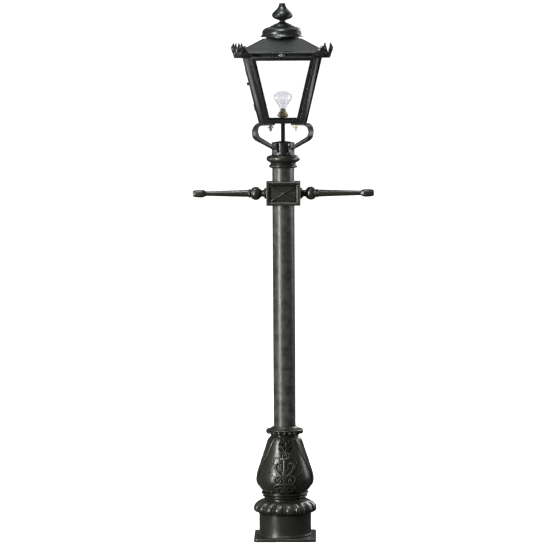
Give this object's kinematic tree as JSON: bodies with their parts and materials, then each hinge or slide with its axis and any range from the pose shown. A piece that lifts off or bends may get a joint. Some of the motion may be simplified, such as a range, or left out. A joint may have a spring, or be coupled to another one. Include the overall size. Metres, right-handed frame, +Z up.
{
  "type": "street lamp post",
  "caption": "Street lamp post with a moulded vase-shaped cast base, plain tubular column, ladder rest arms and a square tapered lantern with a hinged side door on curved support bars.",
  "frame": {"origin": "centre of the underside of the base plate, on the ground", "axes": "+Z up the column, +X along the ladder rest arms to the lamp's right, +Y towards its rear; the front faces -Y"},
  "size_m": [0.728, 0.3926, 2.152],
  "materials": {
    "cast_iron": "satin near-black paint over a lightly rough casting",
    "column_steel": "semi-gloss near-black paint",
    "support_steel": "satin dark grey powder coat",
    "lantern_metal": "satin dark grey powder coat",
    "glazing": "clear",
    "brass": "bright turned brass",
    "bulb_glass": "clear, faintly tinted",
    "filament": "drawn wire",
    "cable": "matt sheath",
    "terminal": "moulded"
  },
  "bodies": {
    "post": {"base_plate": "cast_iron", "plinth": "cast_iron", "gadroon_ring": "cast_iron", "base_vase": "cast_iron", "beaded_collar": "cast_iron", "column_capital": "cast_iron", "ladder_boss": "cast_iron", "ladder_arm_left": "cast_iron", "ladder_arm_right": "cast_iron", "shaft_tube": "column_steel", "top_spigot": "column_steel", "support_collar": "support_steel", "conduit_tube": "support_steel", "support_bar_rear_right": "support_steel", "support_bar_rear_left": "support_steel", "support_bar_front_left": "support_steel", "support_bar_front_right": "support_steel", "support_set_screw_rear_right": "support_steel", "support_set_screw_rear_left": "support_steel", "support_set_screw_front_left": "support_steel", "support_set_screw_front_right": "support_steel", "base_tray": "lantern_metal", "corner_post_rear_right": "lantern_metal", "corner_post_rear_left": "lantern_metal", "corner_post_front_left": "lantern_metal", "corner_post_front_right": "lantern_metal", "corner_crest_rear_right": "lantern_metal", "corner_crest_rear_left": "lantern_metal", "corner_crest_front_left": "lantern_metal", "corner_crest_front_right": "lantern_metal", "front_frame": "lantern_metal", "right_frame": "lantern_metal", "rear_frame": "lantern_metal", "hinge_fixed_lower": "lantern_metal", "hinge_fixed_upper": "lantern_metal", "eaves_fascia": "lantern_metal", "roof": "lantern_metal", "vent_collar": "lantern_metal", "dome_cap": "lantern_metal", "finial": "lantern_metal", "front_glass": "glazing", "right_glass": "glazing", "rear_glass": "glazing", "fixing_screw_rear_right": "brass", "fixing_screw_rear_left": "brass", "fixing_screw_front_left": "brass", "fixing_screw_front_right": "brass", "lamp_holder": "brass", "lamp_lead": "cable", "terminal_block": "terminal"},
    "door": {"door_frame": "lantern_metal", "door_glass": "glazing", "hinge_leaf_lower": "lantern_metal", "hinge_leaf_upper": "lantern_metal"},
    "catch": {"door_knob": "lantern_metal", "door_catch": "brass"},
    "lamp": {"bulb_cap": "brass", "bulb_glass": "bulb_glass", "bulb_filament": "filament"}
  },
  "joints": [
    {"name": "door_hinge", "type": "hinge", "parent": "post", "child": "door", "pos_m": [-0.10074, 0.07044, 1.6778], "axis": [0.2252, -0.2252, -0.9479], "range_deg": [0, 100]},
    {"name": "catch_turn", "type": "hinge", "parent": "door", "child": "catch", "pos_m": [-0.13332, -0.09832, 1.833], "axis": [0.9729, 0, 0.2312], "range_deg": [0, 90]},
    {"name": "lamp_unscrew", "type": "hinge", "parent": "post", "child": "lamp", "pos_m": [0, 0, 1.733], "axis": [0, 0, 1], "range_deg": [0, 1080]}
  ]
}
